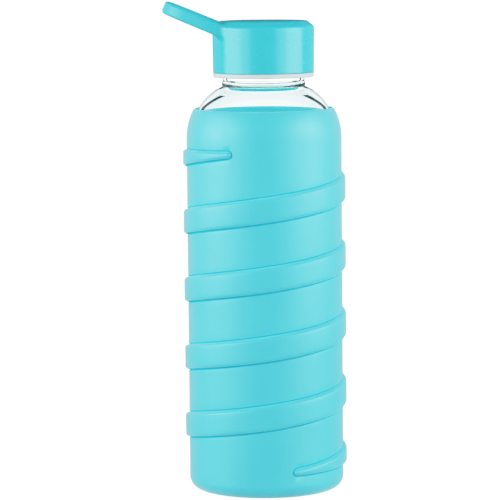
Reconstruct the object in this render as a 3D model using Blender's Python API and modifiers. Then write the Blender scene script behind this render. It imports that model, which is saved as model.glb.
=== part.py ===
"""Glass water bottle in a silicone sleeve with a spiral grip rib, closed by a screw cap with a carry loop.

Metres, +Z up. The origin is on the bottle's axis, on the face it stands on. The loop points along -X.
"""

from math import acos, atan2, cos, pi, radians, sin

import bmesh
import bpy
from mathutils import Matrix, Vector

OBJECT_NAME = "glass_water_bottle"

# Facets
SIDES = 48  # around every turned piece
RIB_STEPS_PER_TURN = 48
THREAD_STEPS_PER_TURN = 36
ARC_STEPS = 5
SHOULDER_STEPS = 7
SCREW_MERGE = 0.00001

# Fits
GAP = 0.0003  # between pieces that touch

# Silicone sleeve
SLEEVE_RADIUS = 0.0420
SLEEVE_WALL = 0.0020
SLEEVE_FLOOR = 0.0020
SLEEVE_BASE_ROUND = 0.0071
SLEEVE_SHOULDER_ANGLE = 26  # degrees up the shoulder arc, on the outside
SLEEVE_RIM_ANGLE = 30.5  # degrees up the shoulder arc, on the inside
SLEEVE_RIM_TOP = 0.2081
SLEEVE_RIM_DROPS = ((0.0362, 0.0), (0.0376, 0.0005), (0.0383, 0.0010))  # radius, drop from the top

# Shoulder: every layer's arc has its centre here
SHOULDER_START = 0.1916
SHOULDER_CENTRE_RADIUS = 0.00785

# Spiral rib, a right-handed helix wound down from its upper tip
RIB_HEIGHT = 0.0020
RIB_WIDTH = 0.0131
RIB_TIP_WIDTH = 0.0030
RIB_CHAMFER = 0.0008
RIB_SUNK = 0.0009  # how far the rib's root sits inside the sleeve's wall
RIB_PITCH = 0.03709
RIB_TOP_TIP_AZIMUTH = radians(-115)
RIB_TOP_TIP_HEIGHT = 0.18356  # lower edge at the upper tip
RIB_TURN = radians(1754)
RIB_TAPER = radians(115)
RIB_TIP_FADE = radians(3)

# Glass
GLASS_RADIUS = SLEEVE_RADIUS - SLEEVE_WALL - GAP
GLASS_WALL = 0.0019
GLASS_BASE = 0.0050
GLASS_INNER_BASE_ROUND = 0.0060
SHOULDER_TOP_ANGLE = 57  # degrees up the shoulder arc, where the neck's fillet starts
NECK_RADIUS = 0.0220
NECK_BORE = 0.0200
NECK_BEAD_RADIUS = 0.0225
NECK_BEAD_HEIGHT = 0.2208
NECK_BEAD_HALF = 0.0013
NECK_INNER_FILLET = 0.0008
NECK_OUTER_FILLET = 0.0004
NECK_TOP = 0.2486
LIP_ROUND = 0.0009

# Screw thread, single start, right-handed
THREAD_LEAD = 0.0040
THREAD_TURNS = 1.5
THREAD_ROOT_HALF = 0.0010
THREAD_CREST_HALF = 0.00045
THREAD_FADE = radians(30)
THREAD_SUNK = 0.0006  # how far a ridge's root sits inside the wall it stands on
THREAD_END_SHARE = 0.3  # of a ridge's height left at its ends
NECK_THREAD_START = 0.2382
NECK_THREAD_CREST = 0.0233
LINER_THREAD_CREST = 0.0225

# Cap liner, the threaded inner cap, whose flange shows under the shell
LINER_BOTTOM = 0.2247
LINER_FLANGE_TOP = 0.2268
LINER_FLANGE_RADIUS = 0.0273
LINER_RADIUS = 0.0252
LINER_BORE = 0.0237
LINER_SEAT_BORE = 0.0227
LINER_SEAT_HEIGHT = 0.2485
LINER_CEILING = 0.2507
LINER_TOP = 0.2527
LINER_CHAMFER = 0.0006

# Cap seal
SEAL_INNER_RADIUS = 0.0185
SEAL_OUTER_RADIUS = 0.0223
SEAL_EDGE = 0.0003

# Cap shell
SHELL_BOTTOM = LINER_FLANGE_TOP + GAP
SHELL_TOP = 0.2550
SHELL_TOP_RADIUS = 0.0275
SHELL_BOTTOM_RADIUS = 0.0272
SHELL_EDGE_ACROSS = 0.0065
SHELL_EDGE_DOWN = 0.0042
SHELL_BORE = LINER_RADIUS + GAP
SHELL_CEILING = LINER_TOP + GAP

# Carry loop, moulded in one with the cap shell
LOOP_ROOT = (-0.0270, 0.0, 0.2519)  # where the loop's middle plane meets the cap's side
LOOP_SLOPE = radians(22.8)
LOOP_THICKNESS = 0.0070
LOOP_REACH = 0.0289
LOOP_END_RADIUS = 0.0145
LOOP_ROOT_HALF_WIDTH = 0.0165
LOOP_BAND = 0.0055
LOOP_SUNK = 0.0055  # how far the arms run into the cap
LOOP_WEB_SUNK = 0.0022  # how far inside the cap's side the hole's inner edge lies
LOOP_EDGE_ROUND = 0.0014
LOOP_ARC_STEPS = 12

TURQUOISE = (0.07, 0.60, 0.70, 1.0)
SLEEVE_TURQUOISE = (0.10, 0.68, 0.76, 1.0)
CLEAR = (0.93, 0.97, 0.96, 1.0)
MILKY = (0.80, 0.80, 0.78, 1.0)
SEAL_WHITE = (0.85, 0.85, 0.84, 1.0)


def clear_scene():
    for old in list(bpy.data.objects):
        bpy.data.objects.remove(old, do_unlink=True)


def new_collection(name):
    collection = bpy.data.collections.new(name)
    bpy.context.scene.collection.children.link(collection)
    return collection


def material(name, colour, roughness, transmission=0.0):
    made = bpy.data.materials.new(name)
    made.use_nodes = True
    shader = made.node_tree.nodes["Principled BSDF"]
    shader.inputs["Base Color"].default_value = colour
    shader.inputs["Roughness"].default_value = roughness
    shader.inputs["Metallic"].default_value = 0.0
    shader.inputs["Transmission Weight"].default_value = transmission
    made.diffuse_color = colour
    return made


def new_object(name, mesh, collection, finish=None):
    made = bpy.data.objects.new(name, mesh)
    collection.objects.link(made)
    if finish:
        mesh.materials.append(finish)
    return made


def arc(centre, radius, start, end, steps=ARC_STEPS):
    """Points (radius, height) on a circle, from one angle to another in degrees, both ends included."""
    angles = [radians(start + (end - start) * step / steps) for step in range(steps + 1)]
    return [(centre[0] + radius * cos(a), centre[1] + radius * sin(a)) for a in angles]


def turned(name, profile, collection, finish=None, closed=False):
    """A solid of revolution about Z. The profile runs up its inner side and down its outer side."""
    mesh = bpy.data.meshes.new(name)
    count = len(profile)
    edges = [(index, index + 1) for index in range(count - 1)]
    if closed:
        edges.append((count - 1, 0))
    mesh.from_pydata([(radius, 0.0, height) for radius, height in profile], edges, [])
    made = new_object(name, mesh, collection, finish)
    screw = made.modifiers.new("turn", "SCREW")
    screw.axis = "Z"
    screw.angle = 2 * pi
    screw.steps = SIDES
    screw.render_steps = SIDES
    screw.use_merge_vertices = True
    screw.merge_threshold = SCREW_MERGE
    screw.use_smooth_shade = True
    return made


def helical_loft(name, sections, collection):
    """A closed ridge through (azimuth, [(radius, height), ...]) sections, capped at both ends."""
    shape = bmesh.new()
    rings = []
    for azimuth, outline in sections:
        rings.append(
            [shape.verts.new((r * cos(azimuth), r * sin(azimuth), z)) for r, z in outline]
        )
    around = len(rings[0])
    for lower, upper in zip(rings, rings[1:]):
        for index in range(around):
            after = (index + 1) % around
            shape.faces.new((lower[index], lower[after], upper[after], upper[index]))
    shape.faces.new(rings[0])
    shape.faces.new(rings[-1])
    bmesh.ops.recalc_face_normals(shape, faces=shape.faces)
    mesh = bpy.data.meshes.new(name)
    shape.to_mesh(mesh)
    shape.free()
    return new_object(name, mesh, collection)


def hide_cutter(cutter):
    cutter.hide_render = True
    cutter.display_type = "WIRE"


def combine(target, cutter, operation):
    hide_cutter(cutter)
    boolean = target.modifiers.new(f"{operation.lower()}_{cutter.name}", "BOOLEAN")
    boolean.operation = operation
    boolean.solver = "EXACT"
    boolean.object = cutter


def shoulder_centre():
    return (SHOULDER_CENTRE_RADIUS, SHOULDER_START)


def shoulder_arc(layer_radius, start, end, steps=SHOULDER_STEPS):
    """Part of the shoulder of the layer that has this radius on the straight wall below."""
    return arc(shoulder_centre(), layer_radius - SHOULDER_CENTRE_RADIUS, start, end, steps)


def make_sleeve(collection, cutters):
    inner = SLEEVE_RADIUS - SLEEVE_WALL
    round_centre = (SLEEVE_RADIUS - SLEEVE_BASE_ROUND, SLEEVE_BASE_ROUND)
    inner_round = SLEEVE_BASE_ROUND - SLEEVE_WALL
    rim = [(radius, SLEEVE_RIM_TOP - drop) for radius, drop in SLEEVE_RIM_DROPS]
    profile = (
        [(0.0, SLEEVE_FLOOR)]
        + arc(round_centre, inner_round, -90, 0)
        + shoulder_arc(inner, 0, SLEEVE_RIM_ANGLE, ARC_STEPS)
        + rim
        + shoulder_arc(SLEEVE_RADIUS, SLEEVE_SHOULDER_ANGLE, 0, ARC_STEPS)
        + arc(round_centre, SLEEVE_BASE_ROUND, 0, -90)
        + [(0.0, 0.0)]
    )
    rubber = material("sleeve_silicone", SLEEVE_TURQUOISE, 0.55)
    sleeve = turned("silicone_sleeve", profile, collection, rubber)
    combine(sleeve, make_rib(cutters), "UNION")
    return sleeve


def rib_edges(turn):
    """Lower and upper edge of the rib, this far down from its upper tip."""
    low = RIB_TOP_TIP_HEIGHT - RIB_PITCH * turn / (2 * pi)
    high = low + RIB_WIDTH
    from_bottom = RIB_TURN - turn
    if turn < RIB_TAPER:
        high = low + RIB_TIP_WIDTH + (RIB_WIDTH - RIB_TIP_WIDTH) * turn / RIB_TAPER
    elif from_bottom < RIB_TAPER:
        low = high - RIB_TIP_WIDTH - (RIB_WIDTH - RIB_TIP_WIDTH) * from_bottom / RIB_TAPER
    return low, high


def make_rib(cutters):
    steps = round(RIB_TURN / (2 * pi) * RIB_STEPS_PER_TURN)
    root = SLEEVE_RADIUS - RIB_SUNK
    sections = []
    for step in range(steps + 1):
        turn = RIB_TURN * step / steps
        low, high = rib_edges(turn)
        fade = min(1.0, (turn + RIB_TIP_FADE) / (2 * RIB_TIP_FADE))
        fade = min(fade, (RIB_TURN - turn + RIB_TIP_FADE) / (2 * RIB_TIP_FADE))
        top = SLEEVE_RADIUS + RIB_HEIGHT * fade
        outline = [
            (root, low),
            (top - RIB_CHAMFER, low),
            (top, low + RIB_CHAMFER),
            (top, high - RIB_CHAMFER),
            (top - RIB_CHAMFER, high),
            (root, high),
        ]
        sections.append((RIB_TOP_TIP_AZIMUTH - turn, outline))
    return helical_loft("rib", sections, cutters)


def make_thread(name, start, root, crest, cutters):
    """A tapering thread ridge from root radius to crest radius, rising from this height."""
    steps = round(THREAD_TURNS * THREAD_STEPS_PER_TURN)
    whole = 2 * pi * THREAD_TURNS
    sections = []
    for step in range(steps + 1):
        turn = whole * step / steps
        fade = min(1.0, turn / THREAD_FADE, (whole - turn) / THREAD_FADE)
        reach = root + (crest - root) * (THREAD_END_SHARE + (1 - THREAD_END_SHARE) * fade)
        height = start + THREAD_LEAD * turn / (2 * pi)
        outline = [
            (root, height - THREAD_ROOT_HALF),
            (reach, height - THREAD_CREST_HALF),
            (reach, height + THREAD_CREST_HALF),
            (root, height + THREAD_ROOT_HALF),
        ]
        sections.append((turn, outline))
    return helical_loft(name, sections, cutters)


def make_glass(collection, cutters):
    bottom = SLEEVE_FLOOR + GAP
    inner = GLASS_RADIUS - GLASS_WALL
    floor = bottom + GLASS_BASE
    outer_round = SLEEVE_BASE_ROUND - SLEEVE_WALL - GAP
    outer_centre = (GLASS_RADIUS - outer_round, bottom + outer_round)
    inner_centre = (inner - GLASS_INNER_BASE_ROUND, floor + GLASS_INNER_BASE_ROUND)
    shoulder_end = shoulder_arc(GLASS_RADIUS, SHOULDER_TOP_ANGLE, SHOULDER_TOP_ANGLE, 1)[0]
    neck_foot = NECK_BEAD_HEIGHT - NECK_BEAD_HALF
    profile = (
        [(0.0, floor)]
        + arc(inner_centre, GLASS_INNER_BASE_ROUND, -90, 0)
        + shoulder_arc(inner, 0, SHOULDER_TOP_ANGLE + 3)
        + [
            (NECK_BORE + NECK_INNER_FILLET, shoulder_end[1] + NECK_OUTER_FILLET),
            (NECK_BORE, neck_foot + NECK_BEAD_HALF),
        ]
        + arc((NECK_BORE + LIP_ROUND, NECK_TOP - LIP_ROUND), LIP_ROUND, 180, 90, 2)
        + arc((NECK_RADIUS - LIP_ROUND, NECK_TOP - LIP_ROUND), LIP_ROUND, 90, 0, 2)
        + [
            (NECK_RADIUS, NECK_BEAD_HEIGHT + NECK_BEAD_HALF),
            (NECK_BEAD_RADIUS, NECK_BEAD_HEIGHT + NECK_BEAD_HALF / 2),
            (NECK_BEAD_RADIUS, NECK_BEAD_HEIGHT - NECK_BEAD_HALF / 2),
            (NECK_RADIUS + NECK_OUTER_FILLET, neck_foot),
        ]
        + shoulder_arc(GLASS_RADIUS, SHOULDER_TOP_ANGLE, 0)
        + arc(outer_centre, outer_round, 0, -90)
        + [(0.0, bottom)]
    )
    glass = turned("glass_bottle", profile, collection, material("clear_glass", CLEAR, 0.02, 1.0))
    thread = make_thread(
        "neck_thread", NECK_THREAD_START, NECK_RADIUS - THREAD_SUNK, NECK_THREAD_CREST, cutters
    )
    combine(glass, thread, "UNION")
    return glass


def make_liner(collection, cutters):
    profile = [
        (0.0, LINER_TOP),
        (LINER_RADIUS - LINER_CHAMFER, LINER_TOP),
        (LINER_RADIUS, LINER_TOP - LINER_CHAMFER),
        (LINER_RADIUS, LINER_FLANGE_TOP),
        (LINER_FLANGE_RADIUS, LINER_FLANGE_TOP),
        (LINER_FLANGE_RADIUS, LINER_BOTTOM + LINER_CHAMFER),
        (LINER_FLANGE_RADIUS - LINER_CHAMFER, LINER_BOTTOM),
        (LINER_BORE + LINER_CHAMFER, LINER_BOTTOM),
        (LINER_BORE, LINER_BOTTOM + LINER_CHAMFER),
        (LINER_BORE, LINER_SEAT_HEIGHT - LINER_CHAMFER),
        (LINER_SEAT_BORE, LINER_SEAT_HEIGHT),
        (LINER_SEAT_BORE, LINER_CEILING),
        (0.0, LINER_CEILING),
    ]
    liner = turned("cap_liner", profile, collection, material("liner_plastic", MILKY, 0.35))
    start = NECK_THREAD_START - THREAD_LEAD / 2
    root = LINER_BORE + THREAD_SUNK
    thread = make_thread("liner_thread", start, root, LINER_THREAD_CREST, cutters)
    combine(liner, thread, "UNION")
    return liner


def make_seal(collection):
    low = NECK_TOP + GAP
    high = LINER_CEILING - GAP
    profile = [
        (SEAL_OUTER_RADIUS - SEAL_EDGE, high),
        (SEAL_OUTER_RADIUS, high - SEAL_EDGE),
        (SEAL_OUTER_RADIUS, low + SEAL_EDGE),
        (SEAL_OUTER_RADIUS - SEAL_EDGE, low),
        (SEAL_INNER_RADIUS + SEAL_EDGE, low),
        (SEAL_INNER_RADIUS, low + SEAL_EDGE),
        (SEAL_INNER_RADIUS, high - SEAL_EDGE),
        (SEAL_INNER_RADIUS + SEAL_EDGE, high),
    ]
    rubber = material("seal_silicone", SEAL_WHITE, 0.5)
    return turned("cap_seal", profile, collection, rubber, closed=True)


def loop_outline(end_radius, root_half_width, root_x):
    """A plan outline that starts wide at the cap and runs tangent into a round end."""
    centre = -(LOOP_REACH - LOOP_END_RADIUS)
    across = root_x - centre
    distance = (across**2 + root_half_width**2) ** 0.5
    tangent = atan2(root_half_width, across) + acos(end_radius / distance)
    points = [(root_x, root_half_width)]
    for step in range(LOOP_ARC_STEPS + 1):
        angle = tangent + (2 * pi - 2 * tangent) * step / LOOP_ARC_STEPS
        points.append((centre + end_radius * cos(angle), end_radius * sin(angle)))
    points.append((root_x, -root_half_width))
    return points


def add_outline(curve, points):
    spline = curve.splines.new("POLY")
    spline.points.add(len(points) - 1)
    for point, (x, y) in zip(spline.points, points):
        point.co = (x, y, 0.0, 1.0)
    spline.use_cyclic_u = True


def mesh_from_curve(made):
    """Replaces a curve object with a welded mesh object that can be cut and joined."""
    evaluated = made.evaluated_get(bpy.context.evaluated_depsgraph_get())
    mesh = bpy.data.meshes.new_from_object(evaluated)
    shape = bmesh.new()
    shape.from_mesh(mesh)
    bmesh.ops.remove_doubles(shape, verts=shape.verts, dist=SCREW_MERGE)
    bmesh.ops.recalc_face_normals(shape, faces=shape.faces)
    shape.to_mesh(mesh)
    shape.free()
    name, home, placed = made.name, made.users_collection[0], made.matrix_world.copy()
    bpy.data.objects.remove(made, do_unlink=True)
    converted = new_object(name, mesh, home)
    converted.matrix_world = placed
    return converted


def make_loop(cutters):
    curve = bpy.data.curves.new("loop", "CURVE")
    curve.dimensions = "2D"
    curve.fill_mode = "BOTH"
    curve.extrude = LOOP_THICKNESS / 2
    add_outline(curve, loop_outline(LOOP_END_RADIUS, LOOP_ROOT_HALF_WIDTH, LOOP_SUNK))
    add_outline(
        curve,
        loop_outline(LOOP_END_RADIUS - LOOP_BAND, LOOP_ROOT_HALF_WIDTH - LOOP_BAND, LOOP_WEB_SUNK),
    )
    flat = new_object("loop", curve, cutters)
    flat.matrix_world = Matrix.Translation(Vector(LOOP_ROOT)) @ Matrix.Rotation(LOOP_SLOPE, 4, "Y")
    bpy.context.view_layer.update()
    loop = mesh_from_curve(flat)
    edge_round = loop.modifiers.new("edges", "BEVEL")
    edge_round.width = LOOP_EDGE_ROUND
    edge_round.segments = 2
    edge_round.limit_method = "ANGLE"
    edge_round.angle_limit = radians(50)
    return loop


def make_shell(collection, cutters):
    edge_centre_radius = SHELL_TOP_RADIUS - SHELL_EDGE_ACROSS
    edge = [
        (
            edge_centre_radius + SHELL_EDGE_ACROSS * sin(radians(angle)),
            SHELL_TOP - SHELL_EDGE_DOWN * (1 - cos(radians(angle))),
        )
        for angle in range(0, 91, 15)
    ]
    outer = (
        [(0.0, SHELL_TOP)]
        + edge
        + [
            (SHELL_BOTTOM_RADIUS, SHELL_BOTTOM + GAP),
            (SHELL_BOTTOM_RADIUS - GAP, SHELL_BOTTOM),
            (0.0, SHELL_BOTTOM),
        ]
    )
    plastic = material("cap_plastic", TURQUOISE, 0.18)
    shell = turned("cap_shell", outer, collection, plastic)
    combine(shell, make_loop(cutters), "UNION")
    below = SHELL_BOTTOM - SHELL_EDGE_DOWN
    cavity = [
        (0.0, SHELL_CEILING),
        (SHELL_BORE - LINER_CHAMFER, SHELL_CEILING),
        (SHELL_BORE, SHELL_CEILING - LINER_CHAMFER),
        (SHELL_BORE, below),
        (0.0, below),
    ]
    combine(shell, turned("shell_cavity", cavity, cutters), "DIFFERENCE")
    return shell


def main():
    clear_scene()
    parts = new_collection(OBJECT_NAME)
    cutters = new_collection("cutters")
    bottle = bpy.data.objects.new("bottle", None)
    cap = bpy.data.objects.new("cap", None)
    parts.objects.link(bottle)
    parts.objects.link(cap)
    make_glass(parts, cutters).parent = bottle
    make_sleeve(parts, cutters).parent = bottle
    make_seal(parts).parent = cap
    make_liner(parts, cutters).parent = cap
    make_shell(parts, cutters).parent = cap
    bpy.context.view_layer.update()


main()
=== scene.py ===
"""The looks of the glass water bottle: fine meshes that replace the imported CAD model's pieces,
materials, light and camera.

Metres, in the CAD's frame: the origin is on the bottle's axis at its base, and the carry loop
points along -X.
"""

from math import asin, cos, pi, radians, sin, sqrt, tan

import bmesh
import bpy
import numpy as np
from mathutils import Matrix, Vector


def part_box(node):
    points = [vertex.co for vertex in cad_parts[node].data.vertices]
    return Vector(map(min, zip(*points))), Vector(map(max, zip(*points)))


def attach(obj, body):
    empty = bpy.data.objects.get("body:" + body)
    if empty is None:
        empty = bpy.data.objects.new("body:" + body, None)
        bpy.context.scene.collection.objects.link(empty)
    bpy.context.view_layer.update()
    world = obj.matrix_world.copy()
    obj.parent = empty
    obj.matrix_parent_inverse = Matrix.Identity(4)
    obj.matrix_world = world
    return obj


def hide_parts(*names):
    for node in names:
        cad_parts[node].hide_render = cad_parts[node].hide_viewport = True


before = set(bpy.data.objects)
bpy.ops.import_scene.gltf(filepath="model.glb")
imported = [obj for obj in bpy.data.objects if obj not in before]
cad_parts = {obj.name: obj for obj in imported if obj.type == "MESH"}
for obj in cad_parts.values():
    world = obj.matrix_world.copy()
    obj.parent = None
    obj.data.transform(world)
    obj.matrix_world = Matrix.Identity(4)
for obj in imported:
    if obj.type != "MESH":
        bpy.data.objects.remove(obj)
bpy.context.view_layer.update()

MM = 0.001

# ---------------------------------------------------------------- sizes, from the frame

glass_low, glass_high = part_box("glass_bottle")
sleeve_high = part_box("silicone_sleeve")[1]
liner_low, liner_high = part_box("cap_liner")
seal_low, seal_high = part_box("cap_seal")
shell_low, shell_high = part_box("cap_shell")

GAP = 0.3 * MM
SLEEVE_WALL = 2.0 * MM
GLASS_RADIUS = glass_high.x
SLEEVE_BORE = GLASS_RADIUS + GAP
SLEEVE_RADIUS = SLEEVE_BORE + SLEEVE_WALL

# Shoulder, shared by the glass and the sleeve
SHOULDER_START = 191.6 * MM
SHOULDER_CENTRE = (7.85 * MM, SHOULDER_START)

# Sleeve
SLEEVE_BASE_ROUND = 7.1 * MM
SLEEVE_RIM_TOP = sleeve_high.z
SHEET_LOW = 8.0 * MM  # between these two heights the sleeve's wall is straight and carries the rib
SHEET_HIGH = 190.6 * MM
RIB_HEIGHT = 2.0 * MM
RIB_WIDTH = 13.1 * MM
RIB_TIP_WIDTH = 3.0 * MM
RIB_PITCH = 37.09 * MM
RIB_TIP_AZIMUTH = radians(-115)
RIB_TIP_HEIGHT = 183.56 * MM
RIB_TURN = radians(1754)
RIB_TAPER = radians(115)
RIB_SPREAD = 0.4 * MM  # how far the flank's foot stands outside the rib's edge
RIB_SLANT = 0.7 * MM  # how far the flank leans in, from its foot to its crest
RIB_CREST_ROUND = 1.8 * MM
GROOVE_WIDTH = 0.7 * MM
GROOVE_DEPTH = 0.35 * MM
RIM_INNER_RADIUS = 36.4 * MM
RIM_INNER_ARC = 28.5  # degrees up the shoulder's arc where the sleeve's inside ends

# Glass
GLASS_WALL = 1.9 * MM
GLASS_IOR = 1.5
# Between these heights, up the shoulder and up the neck, the inside has a painted dark edge line
PAINTED_EDGE_LINES = [(0, 214.4 * MM), (222.0 * MM, 229.0 * MM)]
PAINTED_EDGE_LINE_STEER = 5.5  # how fast that line draws inwards, in facing for each metre up the shoulder
GLASS_INSIDE_SHOULDER = 59  # degrees up the shoulder's arc where the inside leaves it for the neck
GLASS_OUTSIDE_SHOULDER = 55
GLASS_FLOOR_ROUND = 6.0 * MM
GLASS_FLOOR = glass_low.z + 5.0 * MM
NECK_RADIUS = 22.0 * MM
NECK_BORE = 20.0 * MM
NECK_TOP = glass_high.z
BEAD_RADIUS = 22.5 * MM
BEAD_HEIGHT = 220.8 * MM
BEAD_FOOT = 1.2 * MM  # from the bead's middle down to the shoulder

# Thread
THREAD_LEAD = 4.0 * MM
THREAD_TURNS = 1.5
THREAD_FADE = radians(30)
NECK_THREAD_START = 238.2 * MM
NECK_THREAD_DEPTH = 1.3 * MM
LINER_THREAD_START = NECK_THREAD_START - THREAD_LEAD / 2
LINER_THREAD_DEPTH = 1.2 * MM
THREAD_ROOT_HALF = 1.0 * MM
THREAD_CREST_HALF = 0.4 * MM

# Cap
LINER_BORE = 23.7 * MM
LINER_SEAT_BORE = 22.7 * MM
LINER_SEAT_HEIGHT = 248.5 * MM
LINER_CEILING = liner_high.z - 2.0 * MM
LINER_RADIUS = 25.2 * MM
LINER_FLANGE_RADIUS = liner_high.x
LINER_FLANGE_TOP = shell_low.z - 0.05 * MM
SEAL_BORE = 18.5 * MM
SEAL_EDGE_ROUND = 0.35 * MM
SHELL_BORE = LINER_RADIUS + GAP
SHELL_CEILING = liner_high.z + GAP
SHELL_TOP = 255.0 * MM
SHELL_TOP_RADIUS = shell_high.x
SHELL_BOTTOM_RADIUS = 27.2 * MM
SHELL_CHAMFER = (3.85 * MM, 3.1 * MM)  # across and down
SHELL_EDGE_ROUND = 2.3 * MM

# Carry loop
LOOP_ROOT = Vector((-27.0 * MM, 0.0, 251.9 * MM))
LOOP_SLOPE = radians(22.8)
LOOP_THICKNESS = 7.0 * MM
LOOP_REACH = 28.9 * MM
LOOP_END_RADIUS = 14.5 * MM
LOOP_ROOT_RADIUS = 16.5 * MM
LOOP_BAND = 5.5 * MM
LOOP_EDGE_ROUND = 1.7 * MM
LOOP_FILLET = 2.0 * MM
LOOP_SUNK = 5.5 * MM
LOOP_VOXEL = 0.45 * MM

COLUMNS = 256

# ---------------------------------------------------------------- mesh helpers


def object_from(name, vertices, faces):
    mesh = bpy.data.meshes.new(name)
    mesh.from_pydata([tuple(v) for v in vertices], [], [tuple(int(i) for i in f) for f in faces])
    mesh.validate()
    made = bpy.data.objects.new(name, mesh)
    bpy.context.scene.collection.objects.link(made)
    return made


def smooth(made, sharp_angle=38):
    made.data.shade_smooth()
    made.data.set_sharp_from_angle(angle=radians(sharp_angle))
    return made


def clean(made, weld=2e-7):
    """Merges the points that lie on each other and turns every face outwards."""
    shape = bmesh.new()
    shape.from_mesh(made.data)
    bmesh.ops.remove_doubles(shape, verts=shape.verts, dist=weld)
    bmesh.ops.dissolve_degenerate(shape, dist=weld, edges=shape.edges)
    bmesh.ops.recalc_face_normals(shape, faces=shape.faces)
    shape.to_mesh(made.data)
    shape.free()
    return made


def arc(centre, radius, start, end, steps):
    """Points (radius, height) on a circle between two angles in degrees, both included."""
    angles = np.radians(np.linspace(start, end, steps + 1))
    return [(centre[0] + radius * cos(a), centre[1] + radius * sin(a)) for a in angles]


def rounded(corners, steps=5):
    """A profile through (radius, height, round) corners, each replaced by an arc of that round."""
    points = []
    for index, (r, z, size) in enumerate(corners):
        here = Vector((r, z))
        if size == 0 or index in (0, len(corners) - 1):
            points.append((r, z))
            continue
        before = (Vector(corners[index - 1][:2]) - here).normalized()
        after = (Vector(corners[index + 1][:2]) - here).normalized()
        half = before.angle(after) / 2
        centre = here + (before + after).normalized() * size / sin(half)
        start = here + before * size / tan(half) - centre
        turn = start.angle_signed(here + after * size / tan(half) - centre)
        for step in range(steps + 1):
            points.append(tuple(centre + Matrix.Rotation(-turn * step / steps, 2) @ start))
    return points


def lathe(name, profile, columns=COLUMNS, relief=None, closed=False):
    """Turns a profile about Z. relief(azimuth, radius, height) is what is added to the radius."""
    azimuth = 2 * pi * np.arange(columns) / columns
    profile = np.array(profile)
    radius = np.repeat(profile[:, :1], columns, axis=1)
    height = np.repeat(profile[:, 1:], columns, axis=1)
    around = np.repeat(azimuth[None, :], len(profile), axis=0)
    if relief:
        radius = radius + relief(around, radius, height)
    points = np.stack([radius * np.cos(around), radius * np.sin(around), height], axis=-1)
    index = np.arange(len(profile) * columns).reshape(len(profile), columns)
    if closed:
        index = np.vstack([index, index[:1]])
    beside = np.roll(index, -1, axis=1)
    faces = np.stack([index[:-1], beside[:-1], beside[1:], index[1:]], axis=-1).reshape(-1, 4)
    return clean(object_from(name, points.reshape(-1, 3), faces))


def thread_relief(start, depth, applies):
    """A single-start right-handed thread ridge of that depth, on the points where applies()."""

    def relief(azimuth, radius, height):
        stand = np.zeros_like(height)
        for turn in range(int(THREAD_TURNS) + 1):
            along = azimuth + 2 * pi * turn
            whole = 2 * pi * THREAD_TURNS
            fade = np.clip(np.minimum(along, whole - along) / THREAD_FADE, 0, 1)
            fade = fade * fade * (3 - 2 * fade)
            off = np.abs(height - start - THREAD_LEAD * along / (2 * pi))
            slope = (THREAD_ROOT_HALF - off) / (THREAD_ROOT_HALF - THREAD_CREST_HALF)
            ridge = np.clip(slope, 0, 1)
            stand = np.maximum(stand, fade * ridge * ridge * (3 - 2 * ridge))
        return depth * stand * applies(radius, height)

    return relief


# ---------------------------------------------------------------- glass


def glass_shoulder(radius, start, end, steps=40):
    return arc(SHOULDER_CENTRE, radius - SHOULDER_CENTRE[0], start, end, steps)


def make_glass():
    """A turned wall with the thread on its neck. Look 1 is for where the inside has painted dark
    edge lines.
    """
    inner = GLASS_RADIUS - GLASS_WALL
    outer_round = SLEEVE_BASE_ROUND - SLEEVE_WALL - GAP
    outside_centre = (GLASS_RADIUS - outer_round, glass_low.z + outer_round)
    inside_centre = (inner - GLASS_FLOOR_ROUND, GLASS_FLOOR + GLASS_FLOOR_ROUND)
    inside = glass_shoulder(inner, 0, GLASS_INSIDE_SHOULDER)
    outside = glass_shoulder(GLASS_RADIUS, GLASS_OUTSIDE_SHOULDER, 0)
    neck = rounded(
        [
            (*inside[-1], 0),
            (NECK_BORE, BEAD_HEIGHT + 0.4 * MM, 3.0 * MM),
            (NECK_BORE, PAINTED_EDGE_LINES[1][1], 0),
            (NECK_BORE, NECK_TOP, 0.9 * MM),
            (NECK_RADIUS, NECK_TOP, 0.8 * MM),
            (NECK_RADIUS, BEAD_HEIGHT + 2 * BEAD_FOOT, 0.8 * MM),
            (BEAD_RADIUS, BEAD_HEIGHT + 0.5 * MM, 0.7 * MM),
            (BEAD_RADIUS, BEAD_HEIGHT - 0.5 * MM, 0.4 * MM),
            (NECK_RADIUS + 0.2 * MM, BEAD_HEIGHT - BEAD_FOOT, 0.4 * MM),
            (*outside[0], 0),
        ],
        6,
    )
    threaded = (NECK_THREAD_START - 2 * MM, NECK_THREAD_START + 8.5 * MM)
    profile = (
        [(0.0, GLASS_FLOOR + 0.8 * MM), (10 * MM, GLASS_FLOOR + 0.6 * MM), (22 * MM, GLASS_FLOOR)]
        + arc(inside_centre, GLASS_FLOOR_ROUND, -90, 0, 10)
        + inside
        + fine_between(neck[1:-1], 0.2 * MM, *threaded)
        + outside
        + arc(outside_centre, outer_round, 0, -90, 10)
        + [(24 * MM, glass_low.z)]
        + [(12 * MM, glass_low.z + 0.9 * MM), (0.0, glass_low.z + 1.2 * MM)]
    )
    on_neck = lambda r, z: (r > NECK_RADIUS - 0.5 * MM) & (z > threaded[0]) & (z < threaded[1])
    relief = thread_relief(NECK_THREAD_START, NECK_THREAD_DEPTH, on_neck)
    made = smooth(lathe("glass_body", profile, relief=relief), 60)
    for face in made.data.polygons:
        towards_axis = face.normal.x * face.center.x + face.normal.y * face.center.y < 0
        # Inner faces between these heights take the look with the painted dark edge line.
        painted_edge_zone = any(low < face.center.z < high for low, high in PAINTED_EDGE_LINES)
        face.material_index = int(towards_axis and painted_edge_zone)
    return made


def fine_between(points, spacing, low, high):
    """Fills a profile's straight run down between two heights with close points, for the thread."""
    split = [points[0]]
    for (r0, z0), (r1, z1) in zip(points, points[1:]):
        if z0 > high and z1 < low and abs(r1 - r0) < GAP:
            split += [(r0, z) for z in np.arange(high, low, -spacing)]
        split.append((r1, z1))
    return split


# ---------------------------------------------------------------- sleeve


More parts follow.
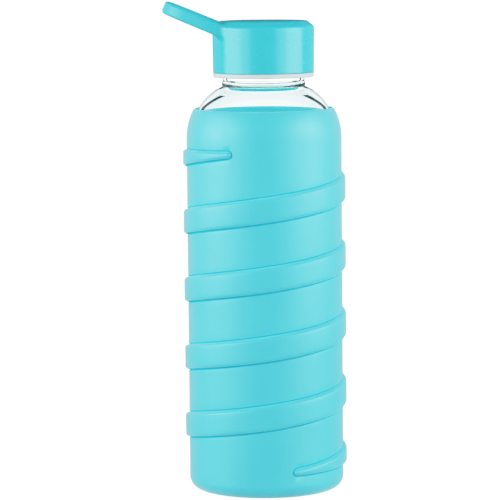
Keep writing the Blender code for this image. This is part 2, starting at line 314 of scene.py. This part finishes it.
def rib_edges(turn):
    """Heights of the rib's lower and upper edge at angles wound down from its upper tip."""
    low = RIB_TIP_HEIGHT - RIB_PITCH * turn / (2 * pi)
    high = low + RIB_WIDTH
    left = RIB_TURN - turn
    grow = RIB_TIP_WIDTH + (RIB_WIDTH - RIB_TIP_WIDTH) * np.clip(turn / RIB_TAPER, 0, 1)
    shrink = RIB_TIP_WIDTH + (RIB_WIDTH - RIB_TIP_WIDTH) * np.clip(left / RIB_TAPER, 0, 1)
    high = np.where(turn < RIB_TAPER, low + grow, high)
    low = np.where(left < RIB_TAPER, high - shrink, low)
    return low, high


def rib_section(foot_steps, top_steps):
    """Half of the rib's section, with the fine groove along its foot: insets from the rib's edge,
    and heights off the wall."""
    corners = [
        (-RIB_SPREAD - 2 * GROOVE_WIDTH, 0, 0),
        (-RIB_SPREAD - GROOVE_WIDTH, 0, 0.1 * MM),
        (-RIB_SPREAD - GROOVE_WIDTH / 3, -GROOVE_DEPTH, 0.1 * MM),
        (-RIB_SPREAD, -GROOVE_DEPTH, 0.1 * MM),
        (RIB_SLANT - RIB_SPREAD, RIB_HEIGHT, RIB_CREST_ROUND),
        (RIB_SLANT + 2 * RIB_CREST_ROUND, RIB_HEIGHT, 0),
    ]
    foot = rounded(corners[:5], foot_steps)[1:-1]
    top = rounded(corners[3:], top_steps)[1:-1]
    return np.array(foot + top)


def rib_depth(turn, height):
    """How far a point lies inside the rib's edge, where the rib has a round nose at each tip."""
    low, high = rib_edges(turn)
    nose = RIB_TIP_WIDTH / 2
    past = np.maximum(nose - np.minimum(turn, RIB_TURN - turn) * SLEEVE_RADIUS, 0)
    return (high - low) / 2 - np.hypot(past, height - (low + high) / 2)


def sheet_columns():
    """Azimuths all the way round, closer together at the two tips of the rib."""
    base = np.linspace(-pi, pi, 216, endpoint=False)
    near = np.radians(np.linspace(-3.5, 3.5, 41))
    tips = [RIB_TIP_AZIMUTH - radians(1), RIB_TIP_AZIMUTH - RIB_TURN + radians(1)]
    close = [(tip + d + pi) % (2 * pi) - pi for tip in tips for d in near]
    columns = np.sort(np.concatenate([base, close]))
    keep = np.concatenate([[True], np.diff(columns) > radians(0.1)])
    return columns[keep]


def sheet_rows(columns):
    """The sleeve's straight wall, as rows that follow the rib's helix, lowest first: their heights,
    how far they stand off the wall, and the number of rows to a turn."""
    insets = rib_section(2, 5)[:, 0]
    rows = []
    for turns_down in range(7, -3, -1):
        turn = RIB_TIP_AZIMUTH - columns + 2 * pi * turns_down
        low, high = rib_edges(turn)
        scale = np.minimum(1, (high - low) / (2.2 * insets[-1]))
        next_low = rib_edges(turn - 2 * pi)[0]
        rows += [low + inset * scale for inset in insets]
        first, last = rows[-1], high - insets[-1] * scale
        rows += [first + (last - first) * share for share in (0.25, 0.5, 0.75)]
        rows += [high - inset * scale for inset in insets[::-1]]
        first, last = rows[-1], next_low + insets[0]
        rows += [first + (last - first) * share for share in np.linspace(0, 1, 10)[1:-1]]
        rows_in_turn = len(rows) // (8 - turns_down)
    heights = np.array(rows)
    all_turns = RIB_TIP_AZIMUTH - columns + 2 * pi * np.arange(-2, 9)[:, None]
    depths = np.max([rib_depth(turn, heights) for turn in all_turns], axis=0)
    stands = np.interp(depths, *rib_section(8, 16).T)
    return heights, stands, rows_in_turn


def make_sleeve():
    """A turned base and rim, joined by the straight wall, whose rows climb with the rib. The wall's
    last column meets the next turn's rows. Look 1 is for the inside, and 2 is painted shade, darker
    silicone in the grooves, on the rib's downward flanks and along the rim's top."""
    columns = sheet_columns()
    count = len(columns)
    heights, stands, rows_in_turn = sheet_rows(columns)
    inside = (heights > SHEET_LOW) & (heights < SHEET_HIGH)
    heights = np.clip(heights, SHEET_LOW, SHEET_HIGH)
    radii = SLEEVE_RADIUS + stands * inside
    rows = len(heights)
    round_centre = (SLEEVE_RADIUS - SLEEVE_BASE_ROUND, SLEEVE_BASE_ROUND)
    inner_round = SLEEVE_BASE_ROUND - SLEEVE_WALL
    below = [(0.0, 0.0), (10 * MM, 0.0), (24 * MM, 0.0)]
    below += arc(round_centre, SLEEVE_BASE_ROUND, -90, 0, 14)
    rim = rounded(
        [
            (*glass_shoulder(SLEEVE_RADIUS, 24, 24, 1)[0], 0),
            (*glass_shoulder(SLEEVE_RADIUS, 27.6, 27.6, 1)[0], 0.9 * MM),
            (RIM_INNER_RADIUS, SLEEVE_RIM_TOP + 0.1 * MM, 0.7 * MM),
            (*glass_shoulder(SLEEVE_BORE, RIM_INNER_ARC, RIM_INNER_ARC, 1)[0], 0),
        ],
        6,
    )
    above = (
        glass_shoulder(SLEEVE_RADIUS, 0, 24, 16)
        + rim[1:-1]
        + glass_shoulder(SLEEVE_BORE, RIM_INNER_ARC, 0, 14)
        + arc(round_centre, inner_round, 0, -90, 8)
        + [(0.0, SLEEVE_WALL)]
    )

    def ring(radius, height):
        return np.stack(
            [radius * np.cos(columns), radius * np.sin(columns), np.full(count, height)], axis=-1
        )

    sheet = np.stack([radii * np.cos(columns), radii * np.sin(columns), heights], axis=-1)
    stack = [ring(r, z) for r, z in below] + list(sheet) + [ring(r, z) for r, z in above]
    index = np.arange(len(stack) * count).reshape(len(stack), count)
    faces = []
    first, last = len(below), len(below) + rows
    for row in range(len(stack) - 1):
        lower, upper = index[row], index[row + 1]
        faces.append(np.stack([lower[:-1], lower[1:], upper[1:], upper[:-1]], axis=-1))
        on_wall = first <= row < last - 1
        joined = row + rows_in_turn if on_wall else row
        if on_wall and joined + 1 >= last:
            continue
        faces.append([[lower[-1], index[joined, 0], index[joined + 1, 0], upper[-1]]])
    sleeve = smooth(
        clean(object_from("sleeve_moulding", np.concatenate(stack), np.concatenate(faces))), 60
    )
    for face in sleeve.data.polygons:
        radius, height = face.center.xy.length, face.center.z
        on_sheet = SHEET_LOW < height < SHEET_HIGH
        # Painted shade: faces in the rib's grooves, on its downward flanks and along the rim's top
        # take the darker look, for the shade that falls there.
        painted_shade_face = on_sheet and (radius < SLEEVE_RADIUS - 0.1 * MM or face.normal.z < -0.88)
        if radius < SLEEVE_BORE + 0.2 * MM and face.center.xy.dot(face.normal.xy) < 0:
            face.material_index = 1
        elif painted_shade_face or height > SLEEVE_RIM_TOP - 0.35 * MM:
            face.material_index = 2
    return sleeve


# ---------------------------------------------------------------- cap


def make_liner():
    """The inner cap, with the thread in its bore. Look 1 is for its inside."""
    corners = [
        (0.0, liner_high.z, 0),
        (LINER_RADIUS, liner_high.z, 0.5 * MM),
        (LINER_RADIUS, LINER_FLANGE_TOP, 0.2 * MM),
        (LINER_FLANGE_RADIUS, LINER_FLANGE_TOP, 0.25 * MM),
        (LINER_FLANGE_RADIUS, liner_low.z, 0.7 * MM),
        (LINER_BORE, liner_low.z, 0.5 * MM),
        (LINER_BORE, LINER_SEAT_HEIGHT - 0.4 * MM, 0.15 * MM),
        (LINER_SEAT_BORE, LINER_SEAT_HEIGHT, 0.15 * MM),
        (LINER_SEAT_BORE, LINER_CEILING, 0.2 * MM),
        (0.0, LINER_CEILING, 0),
    ]
    low, high = LINER_THREAD_START - 1.5 * MM, LINER_THREAD_START + 7.5 * MM
    profile = []
    for point in rounded(corners, 5):
        up_the_bore = abs(point[0] - LINER_BORE) < 1e-6 and point[1] > high
        if up_the_bore and profile[-1][1] < low:
            profile += [(LINER_BORE, z) for z in np.arange(low, high, 0.25 * MM)]
        profile.append(point)
    in_bore = lambda r, z: (np.abs(r - LINER_BORE) < 0.1 * MM) & (z > low) & (z < high)
    relief = thread_relief(LINER_THREAD_START, -LINER_THREAD_DEPTH, in_bore)
    made = smooth(lathe("liner_moulding", profile, relief=relief), 40)
    for face in made.data.polygons:
        in_radius = face.center.xy.length < LINER_BORE + 0.1 * MM
        face.material_index = int(in_radius and face.center.z < LINER_CEILING + 0.1 * MM)
    return made


def make_seal():
    inner, outer, low, high = SEAL_BORE, seal_high.x, seal_low.z, seal_high.z
    corners = [(outer, high), (outer, low), (inner, low), (inner, high)]
    start = ((outer + inner) / 2, high)
    corners = [(r, z, SEAL_EDGE_ROUND) for r, z in corners]
    profile = rounded([(*start, 0)] + corners + [(*start, 0)], 4)[:-1]
    return smooth(lathe("seal_ring", profile, closed=True), 40)


def smallest_blend(a, b, width):
    """The smaller of two distances, blended where they are nearly equal, which fillets a joint."""
    h = np.clip(width - np.abs(a - b), 0, None) / width
    return np.minimum(a, b) - h * h * width / 4


def largest_blend(a, b, width):
    return -smallest_blend(-a, -b, width)


def polygon_distance(x, y, corners):
    """Signed distance to a closed polygon whose corners run anticlockwise."""
    squared = np.full(x.shape, np.inf)
    sign = np.ones(x.shape)
    for (ax, ay), (bx, by) in zip(corners, corners[1:] + corners[:1]):
        ex, ey = bx - ax, by - ay
        wx, wy = x - ax, y - ay
        share = np.clip((wx * ex + wy * ey) / (ex * ex + ey * ey), 0, 1)
        squared = np.minimum(squared, (wx - ex * share) ** 2 + (wy - ey * share) ** 2)
        cross = ex * wy - ey * wx
        upward = (y >= ay) & (y < by) & (cross > 0)
        downward = (y < ay) & (y >= by) & (cross < 0)
        sign = np.where(upward | downward, -sign, sign)
    return sign * np.sqrt(squared)


def shell_distance(points):
    """Signed distance to the cap's outside: a turned body with a rounded chamfer round its top."""
    r = np.hypot(points[:, 0], points[:, 1])
    z = points[:, 2]
    e = SHELL_EDGE_ROUND
    across, down = SHELL_CHAMFER
    bend = np.arctan2(down, across)
    top = SHELL_TOP - e
    side = SHELL_TOP_RADIUS - e
    inset_top = e * tan(bend / 2)
    inset_side = e * tan((pi / 2 - bend) / 2)
    lean = SHELL_TOP_RADIUS - SHELL_BOTTOM_RADIUS
    low = SHELL_TOP - 60 * MM
    low_side = side - lean * (60 * MM) / (SHELL_TOP - shell_low.z)
    corner_top = SHELL_TOP_RADIUS - across - inset_top
    corner_side = SHELL_TOP - down - inset_side
    half = [(low_side, low), (side, corner_side), (corner_top, top)]
    polygon = half + [(-x, y) for x, y in reversed(half)]
    rounded_body = polygon_distance(r, z, polygon) - e
    return largest_blend(rounded_body, shell_low.z - z, 0.3 * MM)


def cavity_distance(points):
    r = np.hypot(points[:, 0], points[:, 1])
    return largest_blend(r - SHELL_BORE, points[:, 2] - SHELL_CEILING, 1.2 * MM)


def tapered_capsule(along, across, root_radius, end_radius, length):
    """Signed distance to the hull of a circle at 0 and a smaller one at length."""
    across = np.abs(across)
    slope = (root_radius - end_radius) / length
    run = sqrt(1 - slope * slope)
    k = -slope * across + run * along
    near = np.hypot(along, across) - root_radius
    far = np.hypot(along - length, across) - end_radius
    side = run * across + slope * along - root_radius
    return np.where(k < 0, near, np.where(k > run * length, far, side))


def loop_distance(points):
    """Signed distance to the carry loop: a flat tapered ring with rounded edges, tilted up."""
    offset = points - np.array(LOOP_ROOT)
    along = -offset[:, 0] * cos(LOOP_SLOPE) + offset[:, 2] * sin(LOOP_SLOPE)
    off_plane = offset[:, 0] * sin(LOOP_SLOPE) + offset[:, 2] * cos(LOOP_SLOPE)
    across = offset[:, 1]
    length = LOOP_REACH - LOOP_END_RADIUS
    start = LOOP_ROOT_RADIUS + (LOOP_ROOT_RADIUS - LOOP_END_RADIUS) * LOOP_SUNK / length
    along, length = along + LOOP_SUNK, length + LOOP_SUNK
    outer = tapered_capsule(along, across, start, LOOP_END_RADIUS, length)
    hole = tapered_capsule(along, across, start - LOOP_BAND, LOOP_END_RADIUS - LOOP_BAND, length)
    plan = np.maximum(outer, -hole) + LOOP_EDGE_ROUND
    depth = np.abs(off_plane) - LOOP_THICKNESS / 2 + LOOP_EDGE_ROUND
    outside = np.hypot(np.maximum(plan, 0), np.maximum(depth, 0))
    return outside + np.minimum(np.maximum(plan, depth), 0) - LOOP_EDGE_ROUND


def cap_distance(points):
    body = smallest_blend(shell_distance(points), loop_distance(points), LOOP_FILLET)
    return largest_blend(body, -cavity_distance(points), 0.3 * MM)


def slope_of(distance, points, step=0.02 * MM):
    slopes = []
    for axis in range(3):
        shift = np.zeros(3)
        shift[axis] = step
        slopes.append((distance(points + shift) - distance(points - shift)) / (2 * step))
    slopes = np.stack(slopes, axis=-1)
    return slopes / np.maximum(np.linalg.norm(slopes, axis=1, keepdims=True), 1e-9)


def make_cap_shell():
    """The CAD shell remeshed evenly, then drawn onto the exact filleted surface."""
    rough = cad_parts["cap_shell"].copy()
    rough.data = rough.data.copy()
    rough.parent = None
    bpy.context.scene.collection.objects.link(rough)
    remesh = rough.modifiers.new("even", "REMESH")
    remesh.mode = "VOXEL"
    remesh.voxel_size = LOOP_VOXEL
    mesh = bpy.data.meshes.new_from_object(
        rough.evaluated_get(bpy.context.evaluated_depsgraph_get())
    )
    bpy.data.objects.remove(rough, do_unlink=True)
    points = np.empty(len(mesh.vertices) * 3)
    mesh.vertices.foreach_get("co", points)
    points = points.reshape(-1, 3)
    for _ in range(8):
        move = -cap_distance(points)[:, None] * slope_of(cap_distance, points)
        points = points + np.clip(move, -0.3 * MM, 0.3 * MM)
    normals = slope_of(cap_distance, points)
    mesh.vertices.foreach_set("co", points.reshape(-1))
    mesh.update()
    mesh.shade_smooth()
    mesh.normals_split_custom_set_from_vertices(normals.tolist())
    mesh.materials.clear()
    mesh.name = "cap_moulding"
    made = bpy.data.objects.new("cap_moulding", mesh)
    bpy.context.scene.collection.objects.link(made)
    return made


# ---------------------------------------------------------------- materials

SLEEVE_TONES = ((0.034, 0.69, 0.85), (0.042, 0.72, 0.88))
# Painted shade: darker silicone for the rib's grooves, its downward flanks and the rim's top.
PAINTED_SHADE_TONES = ((0.028, 0.61, 0.75), (0.033, 0.64, 0.78))
INSIDE_GLOW = 0.65
LINER_GLOW = 0.8
SILICONE_SHEEN = 0.85
SILICONE_IOR = 1.6
CAP_IOR = 1.75  # high, as the softboxes show in the cap as broad bright bands
LINER_IOR = 1.49
# How dark the glass's painted edge line is, by facing from the angle of total reflection
PAINTED_EDGE_LINE_STOPS = [(-0.020, 0), (-0.010, 1), (0.006, 1), (0.012, 0)]
LOOP_WEAR = 0.2  # how much rougher handling has made the loop than the cap


def new_material(name):
    made = bpy.data.materials.new(name)
    made.use_nodes = True
    tree = made.node_tree
    return made, tree, tree.nodes["Principled BSDF"]


def noise(tree, scale, detail=3.0, roughness=0.5):
    where = tree.nodes.new("ShaderNodeTexCoord")
    made = tree.nodes.new("ShaderNodeTexNoise")
    made.inputs["Scale"].default_value = scale
    made.inputs["Detail"].default_value = detail
    made.inputs["Roughness"].default_value = roughness
    tree.links.new(where.outputs["Object"], made.inputs["Vector"])
    return made.outputs["Fac"]


def ranged(tree, value, low, high):
    made = tree.nodes.new("ShaderNodeMapRange")
    made.inputs["From Min"].default_value = 0.3
    made.inputs["From Max"].default_value = 0.7
    made.inputs["To Min"].default_value = low
    made.inputs["To Max"].default_value = high
    tree.links.new(value, made.inputs["Value"])
    return made.outputs["Result"]


def two_tones(tree, value, first, second):
    made = tree.nodes.new("ShaderNodeValToRGB")
    made.color_ramp.elements[0].position = 0.3
    made.color_ramp.elements[1].position = 0.7
    made.color_ramp.elements[0].color = (*first, 1)
    made.color_ramp.elements[1].color = (*second, 1)
    tree.links.new(value, made.inputs["Fac"])
    return made.outputs["Color"]


def bumps(tree, shader, layers):
    """Stacks bump layers of (height, strength, distance) on the shader's normal."""
    normal = None
    for height, strength, distance in layers:
        bump = tree.nodes.new("ShaderNodeBump")
        bump.inputs["Strength"].default_value = strength
        bump.inputs["Distance"].default_value = distance
        tree.links.new(height, bump.inputs["Height"])
        if normal:
            tree.links.new(normal, bump.inputs["Normal"])
        normal = bump.outputs["Normal"]
    tree.links.new(normal, shader.inputs["Normal"])


def silicone_material(name, tones=SLEEVE_TONES, glow=0.0, gloss=1.0):
    """Matt silicone. A glow stands in for the light that comes through the thin wall."""
    made, tree, shader = new_material(name)
    colour = two_tones(tree, noise(tree, 45, 4), *tones)
    shader.inputs["Emission Color"].default_value = (0.01, 0.42, 0.52, 1)
    shader.inputs["Emission Strength"].default_value = glow
    tree.links.new(colour, shader.inputs["Base Color"])
    tree.links.new(ranged(tree, noise(tree, 260, 4), 0.40, 0.50), shader.inputs["Roughness"])
    shader.inputs["IOR"].default_value = SILICONE_IOR
    shader.inputs["Specular IOR Level"].default_value = gloss
    shader.inputs["Sheen Weight"].default_value = SILICONE_SHEEN * gloss
    shader.inputs["Sheen Roughness"].default_value = 0.45
    shader.inputs["Subsurface Weight"].default_value = 0.08
    shader.inputs["Subsurface Radius"].default_value = (0.3, 0.9, 1.0)
    shader.inputs["Subsurface Scale"].default_value = 0.001
    grain = noise(tree, 2600, 2)
    ripples = noise(tree, 120, 2)
    bumps(tree, shader, [(ripples, 0.10, 0.6 * MM), (grain, 0.18, 0.08 * MM)])
    return made


def cap_material():
    """Glossy plastic, which turns rougher along the carry loop, where hands wear it."""
    made, tree, shader = new_material("cap_plastic_look")
    colour = two_tones(tree, noise(tree, 60, 3), (0.034, 0.63, 0.76), (0.042, 0.655, 0.79))
    tree.links.new(colour, shader.inputs["Base Color"])
    moulded = ranged(tree, noise(tree, 340, 4), 0.22, 0.28)
    where = tree.nodes.new("ShaderNodeTexCoord")
    split = tree.nodes.new("ShaderNodeSeparateXYZ")
    tree.links.new(where.outputs["Object"], split.inputs[0])
    worn = tree.nodes.new("ShaderNodeMapRange")
    worn.inputs["From Min"].default_value = -shell_high.x
    worn.inputs["From Max"].default_value = shell_low.x + LOOP_END_RADIUS
    worn.inputs["To Max"].default_value = LOOP_WEAR
    tree.links.new(split.outputs["X"], worn.inputs["Value"])
    rough = tree.nodes.new("ShaderNodeMath")
    rough.operation = "ADD"
    tree.links.new(moulded, rough.inputs[0])
    tree.links.new(worn.outputs["Result"], rough.inputs[1])
    tree.links.new(rough.outputs["Value"], shader.inputs["Roughness"])
    shader.inputs["IOR"].default_value = CAP_IOR
    ripples, grain = noise(tree, 160, 2), noise(tree, 900, 1)
    bumps(tree, shader, [(ripples, 0.05, 0.4 * MM), (grain, 0.02, 0.04 * MM)])
    return made


def liner_material(name, glow=0.0):
    """Translucent white plastic. A glow stands in for the light that comes through it."""
    made, tree, shader = new_material(name)
    # The liner's own colour is white; the cyan tint in these tones is painted light, standing in for
    # the cyan that the sleeve and shell cast on it.
    colour = two_tones(tree, noise(tree, 80, 3), (0.68, 0.80, 0.80), (0.74, 0.84, 0.84))
    shader.inputs["Emission Color"].default_value = (0.45, 0.9, 0.88, 1)
    shader.inputs["Emission Strength"].default_value = glow
    tree.links.new(colour, shader.inputs["Base Color"])
    tree.links.new(ranged(tree, noise(tree, 300, 3), 0.28, 0.38), shader.inputs["Roughness"])
    shader.inputs["IOR"].default_value = LINER_IOR
    shader.inputs["Subsurface Weight"].default_value = 0.6
    shader.inputs["Subsurface Radius"].default_value = (1.0, 1.0, 0.95)
    shader.inputs["Subsurface Scale"].default_value = 0.002
    bumps(tree, shader, [(noise(tree, 1800, 2), 0.06, 0.05 * MM)])
    return made


def seal_material():
    made, tree, shader = new_material("seal_silicone_look")
    colour = two_tones(tree, noise(tree, 90, 3), (0.80, 0.80, 0.79), (0.86, 0.86, 0.85))
    tree.links.new(colour, shader.inputs["Base Color"])
    tree.links.new(ranged(tree, noise(tree, 500, 3), 0.42, 0.55), shader.inputs["Roughness"])
    shader.inputs["Subsurface Weight"].default_value = 0.3
    shader.inputs["Subsurface Scale"].default_value = 0.001
    bumps(tree, shader, [(noise(tree, 2400, 2), 0.1, 0.06 * MM)])
    return made


def let_lamps_through(tree, shader):
    """Mixes in clear for the rays from lamps, which reach what is inside the glass."""
    clear = tree.nodes.new("ShaderNodeBsdfTransparent")
    clear.inputs["Color"].default_value = (0.92, 0.95, 0.945, 1)
    mix = tree.nodes.new("ShaderNodeMixShader")
    path = tree.nodes.new("ShaderNodeLightPath")
    tree.links.new(path.outputs["Is Shadow Ray"], mix.inputs["Fac"])
    tree.links.new(shader, mix.inputs[1])
    tree.links.new(clear.outputs["BSDF"], mix.inputs[2])
    tree.links.new(mix.outputs["Shader"], tree.nodes["Material Output"].inputs["Surface"])


def glass_shader(name):
    made, tree, shader = new_material(name)
    shader.inputs["Base Color"].default_value = (0.975, 0.995, 0.99, 1)
    tree.links.new(ranged(tree, noise(tree, 150, 3), 0.0, 0.012), shader.inputs["Roughness"])
    shader.inputs["IOR"].default_value = GLASS_IOR
    shader.inputs["Transmission Weight"].default_value = 1.0
    bumps(tree, shader, [(noise(tree, 55, 2), 0.03, 0.5 * MM)])
    return made, tree, shader.outputs["BSDF"]


def glass_material():
    made, tree, surface = glass_shader("clear_glass_look")
    let_lamps_through(tree, surface)
    return made


def painted_edge_glass_material():
    """Glass whose inner face has a painted dark line where it is met near the angle of total
    reflection: it stands in for the dark that a bottle in front of a bright background shows where
    it bends light furthest aside. Up the shoulder the painted line is steered inwards, as a wall
    that thickens towards the neck draws it."""
    made, tree, surface = glass_shader("clear_glass_painted_edge_look")
    geometry = tree.nodes.new("ShaderNodeNewGeometry")
    facing = tree.nodes.new("ShaderNodeLayerWeight")
    critical = 1 - cos(asin(1 / GLASS_IOR))
    band = tree.nodes.new("ShaderNodeValToRGB")
    for index, (offset, share) in enumerate(PAINTED_EDGE_LINE_STOPS):
        if index > 1:
            band.color_ramp.elements.new(critical + offset)
        band.color_ramp.elements[index].position = critical + offset
        band.color_ramp.elements[index].color = (share, share, share, 1)
    where = tree.nodes.new("ShaderNodeSeparateXYZ")
    tree.links.new(geometry.outputs["Position"], where.inputs[0])
    steer = tree.nodes.new("ShaderNodeMapRange")
    steer.inputs["From Min"].default_value = SLEEVE_RIM_TOP
    steer.inputs["From Max"].default_value = PAINTED_EDGE_LINES[0][1]
    steer.inputs["To Max"].default_value = PAINTED_EDGE_LINE_STEER * (PAINTED_EDGE_LINES[0][1] - SLEEVE_RIM_TOP)
    tree.links.new(where.outputs["Z"], steer.inputs["Value"])
    on_shoulder = tree.nodes.new("ShaderNodeMath")
    on_shoulder.operation = "LESS_THAN"
    on_shoulder.inputs[1].default_value = PAINTED_EDGE_LINES[1][0]
    tree.links.new(where.outputs["Z"], on_shoulder.inputs[0])
    steered = tree.nodes.new("ShaderNodeMath")
    steered.operation = "MULTIPLY_ADD"
    tree.links.new(steer.outputs["Result"], steered.inputs[0])
    tree.links.new(on_shoulder.outputs["Value"], steered.inputs[1])
    tree.links.new(facing.outputs["Facing"], steered.inputs[2])
    tree.links.new(steered.outputs["Value"], band.inputs["Fac"])
    inside = tree.nodes.new("ShaderNodeMath")
    inside.operation = "MULTIPLY"
    tree.links.new(band.outputs["Color"], inside.inputs[0])
    tree.links.new(geometry.outputs["Backfacing"], inside.inputs[1])
    # Painted shade: a dark diffuse layer mixed in along the edge line.
    dark = tree.nodes.new("ShaderNodeBsdfDiffuse")
    dark.inputs["Color"].default_value = (0.004, 0.03, 0.035, 1)
    mix = tree.nodes.new("ShaderNodeMixShader")
    tree.links.new(inside.outputs["Value"], mix.inputs["Fac"])
    tree.links.new(surface, mix.inputs[1])
    tree.links.new(dark.outputs["BSDF"], mix.inputs[2])
    let_lamps_through(tree, mix.outputs["Shader"])
    return made


# ---------------------------------------------------------------- stage

# name, angle from the camera's side of the bottle, angle spanned, radiance
SOFTBOXES = [
    ("softbox", radians(69), radians(34), 3.1),
    ("outer_fill", radians(92), radians(12), 2.8),
    ("inner_fill", radians(41), radians(22), 1.4),
    ("rim", radians(135), radians(50), 0.35),
]
SOFTBOX_DISTANCE = 1.4
SOFTBOX_TOP = 1.0
FLOOR_WHITES = (0.92, 0.92, 0.92), (0.93, 0.93, 0.93)
FLOOR_GLOW = 1.15
FLOOR_HALF, FLOOR_FAR = 20.0, 60.0
TONE_CURVE = [(0, 0), (0.3, 0.3), (0.6, 0.6), (0.75, 0.705)]  # light, and the brightness shown
TONE_CURVE += [(0.9, 0.775), (1.1, 0.85), (1.4, 0.95), (1.6, 1)]
CAMERA_PLACE = (0, -1.6518, 0.3031)
CAMERA_PITCH, CAMERA_YAW, CAMERA_ROLL = radians(5.966), radians(-0.282), radians(-0.50)
CAMERA_LENS = 219.7  # millimetres, on a 36 mm sensor
BACKGROUND_WHITE = (1.6, 1.6, 1.6)  # the tone curve shows it as plain white
OVERHEAD_LIGHT = 0.7  # share of the studio's light that comes from straight above
STUDIO_LIGHT = {
    "Is Camera Ray": BACKGROUND_WHITE,
    "Is Transmission Ray": (1.35, 1.35, 1.35),
    "Is Diffuse Ray": (0.62, 0.62, 0.62),
    "Is Glossy Ray": (0.08, 0.19, 0.22),
}


def make_floor():
    """A white floor that glows a little, as a light table does, so that it stays pale throughout."""
    near, far = -FLOOR_HALF, FLOOR_FAR
    corners = [(near, near, 0), (-near, near, 0), (-near, far, 0), (near, far, 0)]
    made = object_from("floor", corners, [(0, 1, 2, 3)])
    look, tree, shader = new_material("floor_look")
    colour = two_tones(tree, noise(tree, 3, 3), *FLOOR_WHITES)
    tree.links.new(colour, shader.inputs["Base Color"])
    shader.inputs["Roughness"].default_value = 0.9
    shader.inputs["Specular IOR Level"].default_value = 0.0
    shader.inputs["Emission Color"].default_value = (1, 1, 1, 1)
    shader.inputs["Emission Strength"].default_value = FLOOR_GLOW
    made.data.materials.append(look)
    made.visible_diffuse = False
    made.visible_glossy = False


def make_world():
    """A studio that lights evenly, mirrors dimly and is white behind glass and past the floor."""
    world = bpy.data.worlds.new("studio")
    world.use_nodes = True
    tree = world.node_tree
    path = tree.nodes.new("ShaderNodeLightPath")
    total = None
    for ray, colour in STUDIO_LIGHT.items():
        part = tree.nodes.new("ShaderNodeVectorMath")
        part.operation = "MULTIPLY_ADD"
        part.inputs[1].default_value = colour
        tree.links.new(path.outputs[ray], part.inputs[0])
        if total:
            tree.links.new(total, part.inputs[2])
        total = part.outputs["Vector"]
    tree.links.new(total, tree.nodes["Background"].inputs["Color"])
    where = tree.nodes.new("ShaderNodeTexCoord")
    split = tree.nodes.new("ShaderNodeSeparateXYZ")
    tree.links.new(where.outputs["Generated"], split.inputs[0])
    overhead = tree.nodes.new("ShaderNodeMapRange")
    overhead.inputs["From Min"].default_value = 0.15
    overhead.inputs["To Min"].default_value = 1.0
    overhead.inputs["To Max"].default_value = OVERHEAD_LIGHT
    tree.links.new(split.outputs["Z"], overhead.inputs["Value"])
    tree.links.new(overhead.outputs["Result"], tree.nodes["Background"].inputs["Strength"])
    bpy.context.scene.world = world


def softbox(name, azimuth, distance, spread, top, radiance):
    """An upright area light from the floor up, spread radians wide and hidden from the camera."""
    light = bpy.data.lights.new(name, "AREA")
    light.shape = "RECTANGLE"
    light.size, light.size_y = 2 * distance * tan(spread / 2), top
    light.energy = radiance * pi * light.size * light.size_y
    made = bpy.data.objects.new(name, light)
    bpy.context.scene.collection.objects.link(made)
    outward = Vector((cos(azimuth), sin(azimuth), 0))
    made.location = outward * distance + Vector((0, 0, top / 2 + 0.01))
    made.rotation_euler = (-outward).to_track_quat("-Z", "Y").to_euler()
    made.visible_camera = False


def set_exposure():
    """Standard colours with a photograph's soft shoulder, which eases brightness up to white."""
    view = bpy.context.scene.view_settings
    view.view_transform = "Standard"
    view.use_curve_mapping = True
    mapping = view.curve_mapping
    white = BACKGROUND_WHITE[0]
    mapping.white_level = BACKGROUND_WHITE
    curve = mapping.curves[3]
    for index, (light, shown) in enumerate(TONE_CURVE):
        if index >= len(curve.points):
            curve.points.new(light / white, shown)
        curve.points[index].location = (light / white, shown)
    mapping.update()


def make_camera():
    data = bpy.data.cameras.new("camera")
    data.sensor_width = 36.0
    data.lens = CAMERA_LENS
    data.clip_end = 100
    made = bpy.data.objects.new("camera", data)
    bpy.context.scene.collection.objects.link(made)
    pitch, yaw, roll = CAMERA_PITCH, CAMERA_YAW, CAMERA_ROLL
    forward = Vector((sin(yaw) * cos(pitch), cos(yaw) * cos(pitch), -sin(pitch)))
    level = Vector((cos(yaw), -sin(yaw), 0))
    up = level.cross(forward)
    right = level * cos(roll) + up * sin(roll)
    up = up * cos(roll) - level * sin(roll)
    turned = Matrix((right, up, -forward)).transposed().to_4x4()
    made.matrix_world = Matrix.Translation(CAMERA_PLACE) @ turned
    bpy.context.scene.camera = made


# ---------------------------------------------------------------- assembly


def add(piece, body, node, slot, *looks):
    """Gives a piece its looks, in the order of its faces' indices, and puts it on its body."""
    indices = [face.material_index for face in piece.data.polygons]
    piece.data.materials.clear()
    for look in looks:
        piece.data.materials.append(look)
    piece.data.polygons.foreach_set("material_index", indices)
    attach(piece, body)
    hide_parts(node)


make_camera()
glass_looks = glass_material(), painted_edge_glass_material()
add(make_glass(), "bottle", "glass_bottle", "clear_glass", *glass_looks)
sleeve_looks = (
    silicone_material("sleeve_silicone_look"),
    silicone_material("sleeve_inside_look", glow=INSIDE_GLOW, gloss=0),
    # The third look paints shade into the grooves, the downward flanks and the rim's top.
    silicone_material("sleeve_painted_shade_look", tones=PAINTED_SHADE_TONES, gloss=0),
)
add(make_sleeve(), "bottle", "silicone_sleeve", "sleeve_silicone", *sleeve_looks)
add(make_seal(), "seal", "cap_seal", "seal_silicone", seal_material())
liner_looks = liner_material("liner_plastic_look"), liner_material("liner_inside_look", LINER_GLOW)
add(make_liner(), "cap", "cap_liner", "liner_plastic", *liner_looks)
add(make_cap_shell(), "cap", "cap_shell", "cap_plastic", cap_material())

make_floor()
make_world()
for side, sign in (("left", -1), ("right", 1)):
    for part, azimuth, spread, radiance in SOFTBOXES:
        turned = radians(-90) + sign * azimuth
        softbox(f"{side}_{part}", turned, SOFTBOX_DISTANCE, spread, SOFTBOX_TOP, radiance)
set_exposure()
